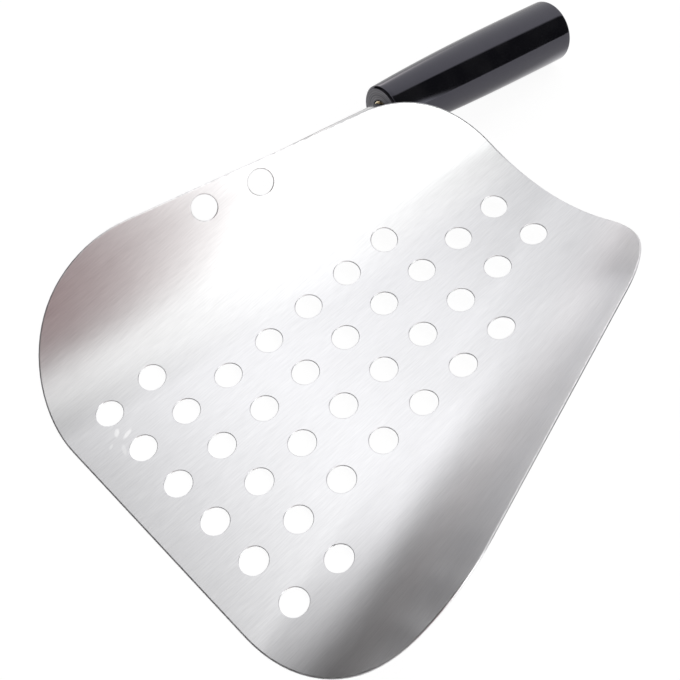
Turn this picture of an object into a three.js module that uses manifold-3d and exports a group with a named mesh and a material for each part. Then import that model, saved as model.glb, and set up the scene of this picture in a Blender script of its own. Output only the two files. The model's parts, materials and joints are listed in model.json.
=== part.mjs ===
// A popcorn scoop: a perforated pan bent from one steel sheet, and a turned grip on a cranked rod
// that is welded to the outside of one wall. Millimetres, Z up, the pan's mouth towards -Y.
// The pan is laid out flat, with its hole pattern, and then bent along two lines that run from
// the mouth's edge to the middle of the back edge.

import * as THREE from 'three';
import { mergeVertices } from 'three/addons/utils/BufferGeometryUtils.js';
import Module from 'manifold-3d';

// Flat blank of the pan
const sheetThickness = 0.8;
const blankLength = 198;
const mouthWidth = 245;
const backWidth = 126;
const mouthCornerRadius = 56;
const backCornerRadius = 44;

// Bend of the walls, measured on the middle of the sheet
const floorMouthWidth = 104;
const bendRadius = 58.5;
const wallAngle = THREE.MathUtils.degToRad(54.2);

// Hole pattern: rows from the mouth back, inside a field that narrows with the floor
const holeDiameter = 10;
const holePitch = 20;
const firstRowInset = 18.75;
const lastRowMargin = 15;
const fieldMouthWidth = 120;
const fieldBackWidth = 40;

// Two more holes beside the top edge of the handle's wall, measured from the blank's back corner
const wallHoleCount = 2;
const wallHoleSetback = 80.8;
const wallHoleSpacing = 23.4;
const wallHoleInset = 8;

// Stem: a rod with a foot on the wall, a crank, and a thinner end inside the grip
const stemDiameter = 8;
const stemEdgeMargin = 0.5;
const stemCrankSetback = 50;
const stemFootLength = 23;
const stemCrankRadius = 18;
const stemFlare = THREE.MathUtils.degToRad(15);
const stemDrop = THREE.MathUtils.degToRad(4);
const spigotDiameter = 6;
const spigotLength = 18;

// Weld beads along both sides of the foot
const weldRadius = 1.5;
const weldEndMargin = 2.5;

// Grip and the threaded insert in its small end
const gripLength = 94;
const gripSmallDiameter = 21;
const gripLargeDiameter = 26;
const gripSwell = 2.7;
const gripEdgeChamfer = 0.8;
const gripEndRadius = 1;
const gripWallClearance = 1.4;
const insertDiameter = 9.2;
const insertLength = 20;

// Gap that fitted pieces keep
const fitGap = 0.3;

// Fineness of the facets
const holeSegments = 12;
const rodSegments = 16;
const rodSteps = 24;
const beadSegments = 12;
const lathSegments = 32;
const taperSteps = 10;
const roundSteps = 4;
const bendStrips = 5;

const stemRadius = stemDiameter / 2;
const sideTaper = Math.atan2((mouthWidth - backWidth) / 2, blankLength);
const bendTaper = Math.atan2(floorMouthWidth / 2, blankLength);

const wasm = await Module();
wasm.setup();

const steel = new THREE.MeshStandardMaterial({ color: 0xc8cacb, roughness: 0.35, metalness: 1 });
const rodSteel = new THREE.MeshStandardMaterial({ color: 0xb4b6b8, roughness: 0.3, metalness: 1 });
const weldSteel = new THREE.MeshStandardMaterial({ color: 0x8d8780, roughness: 0.6, metalness: 1 });
const brass = new THREE.MeshStandardMaterial({ color: 0xc79a45, roughness: 0.3, metalness: 1 });
const bakelite = new THREE.MeshStandardMaterial({ color: 0x151518, roughness: 0.22, metalness: 0 });

function solidOf(geometry) {
  const bare = geometry.clone();
  bare.deleteAttribute('normal');
  bare.deleteAttribute('uv');
  const shell = mergeVertices(bare);
  const vertProperties = new Float32Array(shell.getAttribute('position').array);
  const triVerts = new Uint32Array(shell.getIndex().array);
  return new wasm.Manifold(new wasm.Mesh({ numProp: 3, vertProperties, triVerts }));
}

function geometryOf(solid) {
  const { vertProperties, triVerts } = solid.getMesh();
  const geometry = new THREE.BufferGeometry();
  geometry.setAttribute('position', new THREE.BufferAttribute(vertProperties, 3));
  geometry.setIndex(new THREE.BufferAttribute(triVerts, 1));
  geometry.computeVertexNormals();
  return geometry;
}

function namedMesh(name, geometry, material) {
  const mesh = new THREE.Mesh(geometry, material);
  mesh.name = name;
  return mesh;
}

// A closed outline whose corners, in anticlockwise order, are rounded by arcs of their own radii
function roundedOutline(corners) {
  const outline = new THREE.Shape();
  corners.forEach(({ at, radius }, index) => {
    const before = corners.at(index - 1).at;
    const after = corners[(index + 1) % corners.length].at;
    const toBefore = before.clone().sub(at).normalize();
    const toAfter = after.clone().sub(at).normalize();
    const halfAngle = toBefore.angleTo(toAfter) / 2;
    const bisector = toBefore.clone().add(toAfter).normalize();
    const centre = at.clone().addScaledVector(bisector, radius / Math.sin(halfAngle));
    const reach = radius / Math.tan(halfAngle);
    const start = at.clone().addScaledVector(toBefore, reach).sub(centre);
    const end = at.clone().addScaledVector(toAfter, reach).sub(centre);
    outline.absarc(centre.x, centre.y, radius, start.angle(), end.angle(), false);
  });
  outline.closePath();
  return outline;
}

// A point of the flat blank beside its edge on the handle's side
function besideHandleEdge(setback, inset) {
  const backCorner = new THREE.Vector2(-backWidth / 2, blankLength);
  const towardsMouth = new THREE.Vector2(-Math.sin(sideTaper), -Math.cos(sideTaper));
  const inward = new THREE.Vector2(Math.cos(sideTaper), -Math.sin(sideTaper));
  return backCorner.addScaledVector(towardsMouth, setback).addScaledVector(inward, inset);
}

function floorHoles() {
  const centres = [];
  const rows = Math.floor((blankLength - firstRowInset - lastRowMargin) / holePitch) + 1;
  for (let row = 0; row < rows; row += 1) {
    const along = firstRowInset + row * holePitch;
    const fieldWidth = THREE.MathUtils.mapLinear(along, 0, blankLength, fieldMouthWidth, fieldBackWidth);
    const pairs = Math.floor(fieldWidth / 2 / holePitch + 0.5);
    for (let pair = 0; pair < pairs; pair += 1) {
      const across = (pair + 0.5) * holePitch;
      centres.push(new THREE.Vector2(across, along), new THREE.Vector2(-across, along));
    }
  }
  return centres;
}

function wallHoles() {
  return Array.from({ length: wallHoleCount }, (_, index) =>
    besideHandleEdge(wallHoleSetback + index * wallHoleSpacing, wallHoleInset));
}

// How far a point of the flat blank lies beyond the line where the floor starts to bend up
function beyondFloor(across, along) {
  return (across - floorMouthWidth / 2) * Math.cos(bendTaper) + along * Math.sin(bendTaper);
}

// Where a point of the flat blank lies once the sheet is bent: the point on the middle of the
// sheet, the direction of the bend's straight lines there, and the normal inside the pan
function onBentSheet(across, along) {
  const side = across < 0 ? -1 : 1;
  const beside = side * across - floorMouthWidth / 2;
  const beyond = beyondFloor(side * across, along);
  const alongBend = along * Math.cos(bendTaper) - beside * Math.sin(bendTaper);
  const turn = THREE.MathUtils.clamp(beyond / bendRadius, 0, wallAngle);
  const straight = beyond - bendRadius * turn;
  const run = bendRadius * Math.sin(turn) + straight * Math.cos(turn);
  const rise = bendRadius * (1 - Math.cos(turn)) + straight * Math.sin(turn);
  const ruling = new THREE.Vector3(-side * Math.sin(bendTaper), Math.cos(bendTaper), 0);
  const outward = new THREE.Vector3(side * Math.cos(bendTaper), Math.sin(bendTaper), 0);
  const point = new THREE.Vector3(side * floorMouthWidth / 2, 0, rise);
  point.addScaledVector(ruling, alongBend).addScaledVector(outward, run);
  const inside = outward.clone().multiplyScalar(-Math.sin(turn)).setZ(Math.cos(turn));
  return { point, ruling, inside };
}

function trianglesOf(geometry) {
  const positions = geometry.getAttribute('position');
  const triangles = [];
  for (let first = 0; first < positions.count; first += 3) {
    triangles.push([0, 1, 2].map((corner) =>
      new THREE.Vector3().fromBufferAttribute(positions, first + corner)));
  }
  return triangles;
}

function fanOf(corners) {
  return corners.slice(2).map((corner, index) => [corners[0], corners[index + 1], corner]);
}

// Triangles split where a distance, worked out for each corner, passes through zero
function splitTriangles(triangles, distanceOf) {
  return triangles.flatMap((corners) => {
    const distances = corners.map(distanceOf);
    if (Math.min(...distances) >= 0 || Math.max(...distances) <= 0) {
      return [corners];
    }
    const near = [];
    const far = [];
    corners.forEach((corner, index) => {
      const next = corners[(index + 1) % 3];
      const here = distances[index];
      const there = distances[(index + 1) % 3];
      if (here <= 0) {
        near.push(corner);
      }
      if (here >= 0) {
        far.push(corner);
      }
      if (here * there < 0) {
        const [low, high] = here < 0 ? [corner, next] : [next, corner];
        const share = Math.min(here, there) / (Math.min(here, there) - Math.max(here, there));
        const crossing = low.clone().lerp(high, share);
        near.push(crossing);
        far.push(crossing);
      }
    });
    return [...fanOf(near), ...fanOf(far)];
  });
}

// The flat blank's triangles, split along the straight lines of both bends so that each strip
// of a bend stays flat
function blankTriangles(flat) {
  let triangles = trianglesOf(flat);
  for (const side of [-1, 1]) {
    for (let strip = 0; strip <= bendStrips; strip += 1) {
      const line = bendRadius * wallAngle * strip / bendStrips;
      triangles = splitTriangles(triangles, ({ x, y }) => beyondFloor(side * x, y) - line);
    }
  }
  return triangles;
}

function panGeometry() {
  const blank = roundedOutline([
    { at: new THREE.Vector2(-mouthWidth / 2, 0), radius: mouthCornerRadius },
    { at: new THREE.Vector2(mouthWidth / 2, 0), radius: mouthCornerRadius },
    { at: new THREE.Vector2(backWidth / 2, blankLength), radius: backCornerRadius },
    { at: new THREE.Vector2(-backWidth / 2, blankLength), radius: backCornerRadius },
  ]);
  blank.holes = [...floorHoles(), ...wallHoles()].map((centre) =>
    new THREE.Path().absarc(centre.x, centre.y, holeDiameter / 2, 0, 2 * Math.PI, true));
  const flat = new THREE.ExtrudeGeometry(blank, {
    depth: sheetThickness,
    bevelEnabled: false,
    curveSegments: holeSegments / 2,
  });
  const corners = blankTriangles(flat).flat().map(({ x, y, z }) => {
    const { point, inside } = onBentSheet(x, y);
    return point.addScaledVector(inside, z - sheetThickness / 2);
  });
  const bent = mergeVertices(new THREE.BufferGeometry().setFromPoints(corners));
  bent.computeVertexNormals();
  return bent;
}

// The handle's own frame has its origin on the middle of the sheet behind the crank, X back along
// the wall's straight lines, Y down the wall and Z away from the pan.
const seatHeight = sheetThickness / 2 + fitGap + stemRadius;
const crank = new THREE.Vector3(0, 0, seatHeight);
const shankWay = new THREE.Vector3(
  Math.cos(stemFlare) * Math.cos(stemDrop),
  Math.cos(stemFlare) * Math.sin(stemDrop),
  Math.sin(stemFlare),
);
const faceHeight = sheetThickness / 2 + gripWallClearance + gripSmallDiameter / 2 * Math.cos(stemFlare);
const faceReach = (faceHeight - seatHeight) / Math.sin(stemFlare);
const alongGrip = new THREE.Quaternion().setFromUnitVectors(new THREE.Vector3(0, 1, 0), shankWay);

function alongShank(distance) {
  return crank.clone().addScaledVector(shankWay, distance);
}

function stemGeometry() {
  const section = new THREE.Shape().absarc(0, 0, stemRadius, 0, 2 * Math.PI, false);
  const crankReach = stemCrankRadius * Math.tan(stemFlare / 2);
  const footEnd = new THREE.Vector3(-stemFootLength, 0, seatHeight);
  const bendStart = new THREE.Vector3(-crankReach, 0, seatHeight);
  const shoulder = alongShank(faceReach - fitGap);
  const route = new THREE.CurvePath();
  route.add(new THREE.LineCurve3(footEnd, bendStart));
  route.add(new THREE.QuadraticBezierCurve3(bendStart, crank, alongShank(crankReach)));
  route.add(new THREE.LineCurve3(alongShank(crankReach), shoulder));
  const rod = new THREE.ExtrudeGeometry(section, {
    extrudePath: route,
    steps: rodSteps,
    curveSegments: rodSegments / 2,
  });
  const spigotRoot = stemRadius;
  const spigot = new THREE.CylinderGeometry(
    spigotDiameter / 2,
    spigotDiameter / 2,
    spigotLength + spigotRoot,
    rodSegments,
  );
  spigot.translate(0, (spigotLength - spigotRoot) / 2, 0);
  spigot.applyQuaternion(alongGrip);
  spigot.translate(shoulder.x, shoulder.y, shoulder.z);
  return geometryOf(solidOf(rod).add(solidOf(spigot)));
}

// A bead in the corner between the foot and the wall; side is 1 below the rod and -1 above it
function weldGeometry(side) {
  const beadLength = stemFootLength - 2 * weldEndMargin - 2 * weldRadius;
  const floorOfBead = sheetThickness / 2 + fitGap;
  const bead = new THREE.CapsuleGeometry(weldRadius, beadLength, roundSteps, beadSegments);
  bead.rotateZ(Math.PI / 2);
  bead.translate(-stemFootLength / 2, side * (stemRadius - weldRadius / 2), floorOfBead);
  const rod = new THREE.CylinderGeometry(
    stemRadius + fitGap,
    stemRadius + fitGap,
    2 * stemFootLength,
    2 * rodSegments,
  );
  rod.rotateZ(Math.PI / 2);
  rod.translate(-stemFootLength / 2, 0, seatHeight);
  const wall = new THREE.BoxGeometry(2 * stemFootLength, 4 * stemDiameter, 2 * weldRadius);
  wall.translate(-stemFootLength / 2, 0, floorOfBead - weldRadius);
  return geometryOf(solidOf(bead).subtract(solidOf(rod)).subtract(solidOf(wall)));
}

// Turned about Y, with the small end's face at Y = 0
function insertGeometry() {
  const bore = spigotDiameter / 2 + fitGap;
  const outside = insertDiameter / 2;
  return new THREE.LatheGeometry([
    new THREE.Vector2(bore, 0),
    new THREE.Vector2(outside, 0),
    new THREE.Vector2(outside, insertLength),
    new THREE.Vector2(bore, insertLength),
    new THREE.Vector2(bore, 0),
  ], lathSegments);
}

function gripGeometry() {
  const pocketRadius = insertDiameter / 2 + fitGap;
  const pocketDepth = insertLength + fitGap;
  const smallRadius = gripSmallDiameter / 2;
  const largeRadius = gripLargeDiameter / 2;
  const taperLength = gripLength - gripEdgeChamfer - gripEndRadius;
  const profile = [
    new THREE.Vector2(0, pocketDepth),
    new THREE.Vector2(pocketRadius, pocketDepth),
    new THREE.Vector2(pocketRadius, 0),
    new THREE.Vector2(smallRadius - gripEdgeChamfer, 0),
  ];
  for (let step = 0; step <= taperSteps; step += 1) {
    const share = step / taperSteps;
    const swollen = 1 - (1 - share) ** gripSwell;
    const radius = THREE.MathUtils.lerp(smallRadius, largeRadius, swollen);
    profile.push(new THREE.Vector2(radius, gripEdgeChamfer + share * taperLength));
  }
  for (let step = 1; step <= roundSteps; step += 1) {
    const angle = step / roundSteps * Math.PI / 2;
    profile.push(new THREE.Vector2(
      largeRadius - gripEndRadius * (1 - Math.cos(angle)),
      gripLength - gripEndRadius * (1 - Math.sin(angle)),
    ));
  }
  profile.push(new THREE.Vector2(0, gripLength));
  return new THREE.LatheGeometry(profile, lathSegments);
}

function handleGroup() {
  const handle = new THREE.Group();
  const seat = besideHandleEdge(stemCrankSetback, stemRadius + stemEdgeMargin);
  const { point, ruling, inside } = onBentSheet(seat.x, seat.y);
  const outside = inside.clone().negate();
  const down = outside.clone().cross(ruling);
  handle.position.copy(point);
  handle.quaternion.setFromRotationMatrix(new THREE.Matrix4().makeBasis(ruling, down, outside));
  handle.add(namedMesh('handle_stem', stemGeometry(), rodSteel));
  handle.add(namedMesh('weld_upper', weldGeometry(-1), weldSteel));
  handle.add(namedMesh('weld_lower', weldGeometry(1), weldSteel));
  const turned = new THREE.Group();
  turned.position.copy(alongShank(faceReach));
  turned.quaternion.copy(alongGrip);
  turned.add(namedMesh('thread_insert', insertGeometry(), brass));
  turned.add(namedMesh('grip', gripGeometry(), bakelite));
  handle.add(turned);
  return handle;
}

// The slope of the line from the mouth's lower edge to the lowest reach of the grip, or level
function restSlope(scoop) {
  const grip = scoop.getObjectByName('grip');
  const positions = grip.geometry.getAttribute('position');
  const point = new THREE.Vector3();
  let slope = 0;
  for (let index = 0; index < positions.count; index += 1) {
    point.fromBufferAttribute(positions, index).applyMatrix4(grip.matrixWorld);
    slope = Math.min(slope, Math.atan2(point.z + sheetThickness / 2, point.y));
  }
  return slope;
}

// At rest the scoop lies on the mouth's lower edge and the grip's end, over the origin
function layDown(scoop) {
  scoop.updateMatrixWorld(true);
  scoop.rotation.x = -restSlope(scoop);
  const box = new THREE.Box3().setFromObject(scoop, true);
  const centre = box.getCenter(new THREE.Vector3());
  scoop.position.set(-centre.x, -centre.y, -box.min.z);
}

const scoop = new THREE.Group();
scoop.add(namedMesh('pan', panGeometry(), steel));
scoop.add(handleGroup());
layDown(scoop);

const part = new THREE.Group();
part.add(scoop);
export default part;
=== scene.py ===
"""A popcorn scoop dressed for its picture: brushed perforated pan, welded rod and turned black grip.

Lengths are in metres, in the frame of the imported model: Z up, the pan's mouth towards -Y and the
handle on the -X side. The pan's own frame has its origin in the middle of the mouth's edge, with
the floor level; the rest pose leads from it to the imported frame.
"""

import json
import logging
from dataclasses import dataclass
from enum import Enum
from math import atan2, cos, pi, radians, sin, sqrt, tan, tau

import bmesh
import bpy
from bmesh.types import BMEdge, BMesh, BMFace, BMVert
from bpy.types import Material, Node, NodeOutputs, NodeSocket, NodeTree, Object
from mathutils import Matrix, Vector

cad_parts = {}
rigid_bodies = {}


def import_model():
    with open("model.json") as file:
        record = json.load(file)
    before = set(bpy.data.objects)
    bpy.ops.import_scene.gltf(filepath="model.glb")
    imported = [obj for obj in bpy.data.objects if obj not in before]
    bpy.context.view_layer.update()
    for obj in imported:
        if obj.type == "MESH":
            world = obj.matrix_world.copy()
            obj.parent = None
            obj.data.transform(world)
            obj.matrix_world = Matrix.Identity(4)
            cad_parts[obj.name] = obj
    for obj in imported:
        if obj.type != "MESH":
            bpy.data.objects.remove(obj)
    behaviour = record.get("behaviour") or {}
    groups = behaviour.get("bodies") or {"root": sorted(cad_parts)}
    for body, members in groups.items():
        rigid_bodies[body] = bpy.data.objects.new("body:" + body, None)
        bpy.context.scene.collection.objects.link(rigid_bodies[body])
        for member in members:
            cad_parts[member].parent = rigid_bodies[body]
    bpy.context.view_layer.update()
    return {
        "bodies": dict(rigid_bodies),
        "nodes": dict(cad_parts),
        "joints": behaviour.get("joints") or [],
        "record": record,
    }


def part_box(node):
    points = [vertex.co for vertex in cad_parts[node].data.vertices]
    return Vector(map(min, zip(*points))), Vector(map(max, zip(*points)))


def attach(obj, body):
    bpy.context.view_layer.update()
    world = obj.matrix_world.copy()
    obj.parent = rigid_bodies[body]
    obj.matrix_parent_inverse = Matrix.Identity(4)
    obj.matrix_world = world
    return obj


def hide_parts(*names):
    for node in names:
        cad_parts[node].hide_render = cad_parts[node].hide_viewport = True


LOG = logging.getLogger("popcorn_scoop")
MM = 0.001
BODY = "root"
UP = Vector((0.0, 0.0, 1.0))
AHEAD = Vector((1.0, 0.0, 0.0))
FACING_AHEAD = Matrix.Rotation(pi / 2, 4, "Y")
SAME_PLACE = 1e-7
MICRON = 1e-6
SHARP_DEG = 30.0

Colour = tuple[float, float, float]
Colours = tuple[Colour, Colour]
Coords = tuple[float, float, float]
Pair = tuple[float, float]
Inputs = dict[str | int, object]


class Wall(Enum):
    """The two walls of the pan, by the sign of X."""

    HANDLE = -1
    FREE = 1


class SheetSurface(Enum):
    """Material slots of the pan's sheet."""

    BRUSHED = 0
    EDGE = 1


class GripSurface(Enum):
    """Material slots of the grip."""

    GLOSS = 0
    END_FACE = 1


class WeldPlace(Enum):
    """The two weld beads, by the side of the rod that they lie on."""

    UPPER = -1
    LOWER = 1


class Graph:
    """Builds one node tree in few words.

    A Mix node has sockets for several kinds of value; the numbers are those of its colours.
    """

    MIX_LOW = 6
    MIX_HIGH = 7
    MIX_RESULT = 2

    def __init__(self, tree: NodeTree) -> None:
        """Empties the tree that is to be filled."""
        self.tree = tree
        tree.nodes.clear()

    def node(self, kind: str, inputs: Inputs | None = None, **settings: object) -> Node:
        """Adds a node.

        Args:
            kind: The node's type name.
            inputs: Sockets or plain values for its inputs, by name or number. Colours have no alpha.
            settings: Properties of the node to set.

        Returns:
            The new node.
        """
        made = self.tree.nodes.new(kind)
        for name, value in settings.items():
            setattr(made, name, value)
        for slot, value in (inputs or {}).items():
            target = made.inputs[slot]
            if isinstance(value, NodeSocket):
                self.tree.links.new(value, target)
            else:
                target.default_value = (*value, 1.0) if target.type == "RGBA" else value
        return made

    def math(self, operation: str, *values: object) -> NodeSocket:
        """The result of a Math node, whose inputs are given in order."""
        return self.node("ShaderNodeMath", dict(enumerate(values)), operation=operation).outputs[0]

    def vectors(self, operation: str, *values: object, **named: object) -> NodeOutputs:
        """The outputs of a Vector Math node, whose inputs are given in order or by name."""
        inputs = {**dict(enumerate(values)), **named}
        return self.node("ShaderNodeVectorMath", inputs, operation=operation).outputs

    def fade(self, value: NodeSocket, gone: float, full: float) -> NodeSocket:
        """A smooth share that is 0 where a value is at one end and 1 where it is at the other."""
        inputs = {"Value": value, "From Min": gone, "From Max": full}
        return self.node("ShaderNodeMapRange", inputs, interpolation_type="SMOOTHSTEP").outputs["Result"]

    def blend(self, share: NodeSocket, low: Colour | NodeSocket, high: Colour | NodeSocket) -> NodeSocket:
        """A colour between two others, which belong to a share of 0 and of 1."""
        inputs = {"Factor": share, self.MIX_LOW: low, self.MIX_HIGH: high}
        return self.node("ShaderNodeMix", inputs, data_type="RGBA").outputs[self.MIX_RESULT]

    def effect(self, group: NodeTree, place: NodeSocket, **sizes: float) -> NodeOutputs:
        """The outputs of a shared effect that reads its place and has its own sizes."""
        return self.node("ShaderNodeGroup", {"Vector": place, **sizes}, node_tree=group).outputs

    def place(self, frame: Matrix | None = None) -> NodeSocket:
        """Where a point of the surface lies.

        Args:
            frame: The frame to read it in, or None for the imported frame.

        Returns:
            The vector's socket.
        """
        spot = self.node("ShaderNodeTexCoord").outputs["Object"]
        if frame is None:
            return spot
        inputs = {"Vector": spot, "Location": frame.to_translation(), "Rotation": frame.to_euler("XYZ")}
        return self.node("ShaderNodeMapping", inputs, vector_type="TEXTURE").outputs["Vector"]


class SharedEffects:
    """Node groups that several finishes use, each built once."""

    STREAK_DETAIL = 2.0
    COARSE_SCALE = 0.22
    FINE_SCALE = 1.0
    COARSE_SHARE = 0.3
    FINE_SHARE = 0.7
    SMUDGE_DETAIL = 3.0
    SMUDGE_DISTORTION = 0.4
    SMUDGE_EDGE: Pair = (0.38, 0.68)
    RING_UNEVENNESS = 0.7
    RING_WAVE = 0.25

    def __init__(self) -> None:
        """Builds the groups."""
        self.streaks = self._streaks()
        self.smudges = self._smudges()
        self.rings = self._rings()

    @staticmethod
    def _group(name: str, sizes: list[str], outputs: list[str]) -> tuple[NodeTree, Graph, NodeOutputs]:
        """Starts a group with a vector input, number inputs and number outputs.

        Args:
            name: The group's name.
            sizes: Names of its number inputs.
            outputs: Names of its outputs.

        Returns:
            The group, its graph and the sockets of its inputs.
        """
        group = bpy.data.node_groups.new(name, "ShaderNodeTree")
        group.interface.new_socket("Vector", in_out="INPUT", socket_type="NodeSocketVector")
        for size in sizes:
            group.interface.new_socket(size, in_out="INPUT", socket_type="NodeSocketFloat")
        for output in outputs:
            group.interface.new_socket(output, in_out="OUTPUT", socket_type="NodeSocketFloat")
        graph = Graph(group)
        return group, graph, graph.node("NodeGroupInput").outputs

    def _streaks(self) -> NodeTree:
        """Fine parallel lines, with X across them and Y along them.

        Returns:
            The group.
        """
        group, graph, given = self._group("fine_streaks", ["Across", "Along"], ["Streak", "Height"])
        across = given["Across"]
        stretch = graph.node("ShaderNodeCombineXYZ", {"X": across, "Y": given["Along"], "Z": across})
        scaled = graph.vectors("MULTIPLY", given["Vector"], stretch.outputs["Vector"])["Vector"]
        noise = {"Vector": scaled, "Detail": self.STREAK_DETAIL}
        coarse = graph.node("ShaderNodeTexNoise", {**noise, "Scale": self.COARSE_SCALE}).outputs["Fac"]
        fine = graph.node("ShaderNodeTexNoise", {**noise, "Scale": self.FINE_SCALE}).outputs["Fac"]
        wide = graph.math("MULTIPLY", coarse, self.COARSE_SHARE)
        both = graph.math("MULTIPLY_ADD", fine, self.FINE_SHARE, wide)
        graph.node("NodeGroupOutput", {"Streak": both, "Height": fine})
        return group

    def _smudges(self) -> NodeTree:
        """Soft blotches left by handling.

        Returns:
            The group.
        """
        group, graph, given = self._group("handling_smudges", ["Scale"], ["Smudge"])
        blotch = graph.node("ShaderNodeTexNoise", {
            "Vector": given["Vector"], "Scale": given["Scale"],
            "Detail": self.SMUDGE_DETAIL, "Distortion": self.SMUDGE_DISTORTION,
        })
        graph.node("NodeGroupOutput", {"Smudge": graph.fade(blotch.outputs["Fac"], *self.SMUDGE_EDGE)})
        return group

    def _rings(self) -> NodeTree:
        """Turning marks round the Z axis.

        Returns:
            The group.
        """
        group, graph, given = self._group("turning_rings", ["Spacing"], ["Ring"])
        flat = graph.vectors("MULTIPLY", given["Vector"], (1.0, 1.0, 0.0))["Vector"]
        turns = graph.math("DIVIDE", graph.vectors("LENGTH", flat)["Value"], given["Spacing"])
        wave = graph.math("SINE", graph.math("MULTIPLY", turns, tau))
        noise = {"W": turns, "Scale": self.RING_UNEVENNESS}
        uneven = graph.node("ShaderNodeTexNoise", noise, noise_dimensions="1D").outputs["Fac"]
        graph.node("NodeGroupOutput", {"Ring": graph.math("MULTIPLY_ADD", wave, self.RING_WAVE, uneven)})
        return group


@dataclass(frozen=True)
class Relief:
    """How far a pattern stands out: the bump's strength, and what a height of 1 is."""

    strength: float
    depth: float = 0.02 * MM


class Finish:
    """What every finish shares: a material with one Principled shader.

    Of each pair of colours or roughnesses, the first belongs to 0 of the pattern that mixes them.
    """

    effects: SharedEffects
    name: str
    colours: Colours
    roughness: Pair
    relief: Relief

    def coat(self, graph: Graph) -> Inputs:
        """The shader's inputs in a material's graph, which each finish gives for itself."""
        raise NotImplementedError

    def smudge(self, graph: Graph, place: NodeSocket, scale: float) -> NodeSocket:
        """A pattern of smudges, with so many to the metre."""
        return graph.effect(self.effects.smudges, place, Scale=scale)["Smudge"]

    def patterned(self, graph: Graph, colour: NodeSocket, gloss: NodeSocket,
                  height: NodeSocket | None = None, **plain: float) -> Inputs:
        """Gives the inputs of a surface with a pattern.

        Args:
            graph: The material's graph.
            colour: What mixes the two colours.
            gloss: What mixes the two roughnesses.
            height: What stands out, if anything does.
            plain: Inputs that are the same all over.

        Returns:
            Sockets or plain values by the inputs' names.
        """
        low, high = self.roughness
        spread = graph.node("ShaderNodeMapRange", {"Value": gloss, "To Min": low, "To Max": high})
        inputs = {"Base Color": graph.blend(colour, *self.colours), "Roughness": spread.outputs["Result"]}
        if height is not None:
            bump = {"Strength": self.relief.strength, "Distance": self.relief.depth, "Height": height}
            inputs["Normal"] = graph.node("ShaderNodeBump", bump).outputs["Normal"]
        return {**inputs, **plain}

    def material(self) -> Material:
        """Builds the material.

        Returns:
            The material.
        """
        material = bpy.data.materials.new(self.name)
        material.use_nodes = True
        graph = Graph(material.node_tree)
        shader = graph.node("ShaderNodeBsdfPrincipled", self.coat(graph))
        graph.node("ShaderNodeOutputMaterial", {"Surface": shader.outputs["BSDF"]})
        return material


@dataclass(frozen=True)
class RubMark:
    """A short white rub on the sheet, turned from the brushing's direction."""

    across: float
    along: float
    half_width: float
    half_length: float
    turn_deg: float
    share: float


@dataclass(frozen=True)
class BrushedSteel(Finish):
    """Stainless sheet, brushed along the scoop's length before it was bent."""

    effects: SharedEffects
    sheet_map: str
    map_span: float
    map_origin: Pair
    name: str = "brushed_steel"
    colours: Colours = ((0.68, 0.68, 0.69), (0.92, 0.92, 0.93))
    roughness: Pair = (0.26, 0.34)
    relief: Relief = Relief(0.2)
    anisotropy: float = 0.8
    line_width: float = 0.45 * MM
    line_length: float = 7 * MM
    smudge_scale: float = 24.0
    smudge_share: float = 0.35
    rubbed: Colour = (0.99, 0.99, 0.99)
    mark_edge: Pair = (0.0, 0.55)
    marks: tuple[RubMark, ...] = (
        RubMark(-41.7 * MM, 15.8 * MM, 1.15 * MM, 2.2 * MM, 47.0, 1.0),
        RubMark(-38.6 * MM, 18.2 * MM, 1.0 * MM, 2.9 * MM, 14.0, 1.0),
        RubMark(-38.8 * MM, 11.0 * MM, 0.7 * MM, 1.5 * MM, 25.0, 0.55),
        RubMark(-34.4 * MM, 13.6 * MM, 1.0 * MM, 2.8 * MM, 66.0, 0.45),
    )

    def coat(self, graph: Graph) -> Inputs:
        """Lays streaks on the flat blank's map, smudges over them and the rub marks on top.

        Args:
            graph: The material's graph.

        Returns:
            The shader's inputs.
        """
        sheet = graph.node("ShaderNodeUVMap", uv_map=self.sheet_map).outputs["UV"]
        lines = {"Across": self.map_span / self.line_width, "Along": self.map_span / self.line_length}
        streaks = graph.effect(self.effects.streaks, sheet, **lines)
        smudge = self.smudge(graph, graph.place(), self.smudge_scale)
        lined = graph.math("MULTIPLY", streaks["Streak"], 1 - self.smudge_share)
        uneven = graph.math("MULTIPLY_ADD", smudge, self.smudge_share, lined)
        inputs = self.patterned(
            graph, streaks["Streak"], uneven, streaks["Height"], Metallic=1.0, Anisotropic=self.anisotropy)
        along = graph.node("ShaderNodeTangent", direction_type="UV_MAP", uv_map=self.sheet_map)
        inputs["Tangent"] = along.outputs["Tangent"]
        inputs["Base Color"] = graph.blend(self._rub(graph, sheet), inputs["Base Color"], self.rubbed)
        return inputs

    def _rub(self, graph: Graph, sheet: NodeSocket) -> NodeSocket:
        """Lays out the rub marks.

        Args:
            graph: The material's graph.
            sheet: The place on the flat blank.

        Returns:
            How much the surface is rubbed.
        """
        rubbed = 0.0
        span = self.map_span
        left, front = self.map_origin
        for mark in self.marks:
            spot = graph.node("ShaderNodeMapping", {
                "Vector": sheet,
                "Location": (mark.across / span + left, mark.along / span + front, 0.0),
                "Rotation": (0.0, 0.0, radians(mark.turn_deg)),
                "Scale": (mark.half_width / span, mark.half_length / span, 1.0),
            }, vector_type="TEXTURE")
            inputs = {"Vector": spot.outputs["Vector"]}
            inside = graph.node("ShaderNodeTexGradient", inputs, gradient_type="SPHERICAL").outputs["Fac"]
            strength = graph.math("MULTIPLY", graph.fade(inside, *self.mark_edge), mark.share)
            rubbed = graph.math("MAXIMUM", strength, rubbed)
        return rubbed


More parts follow.
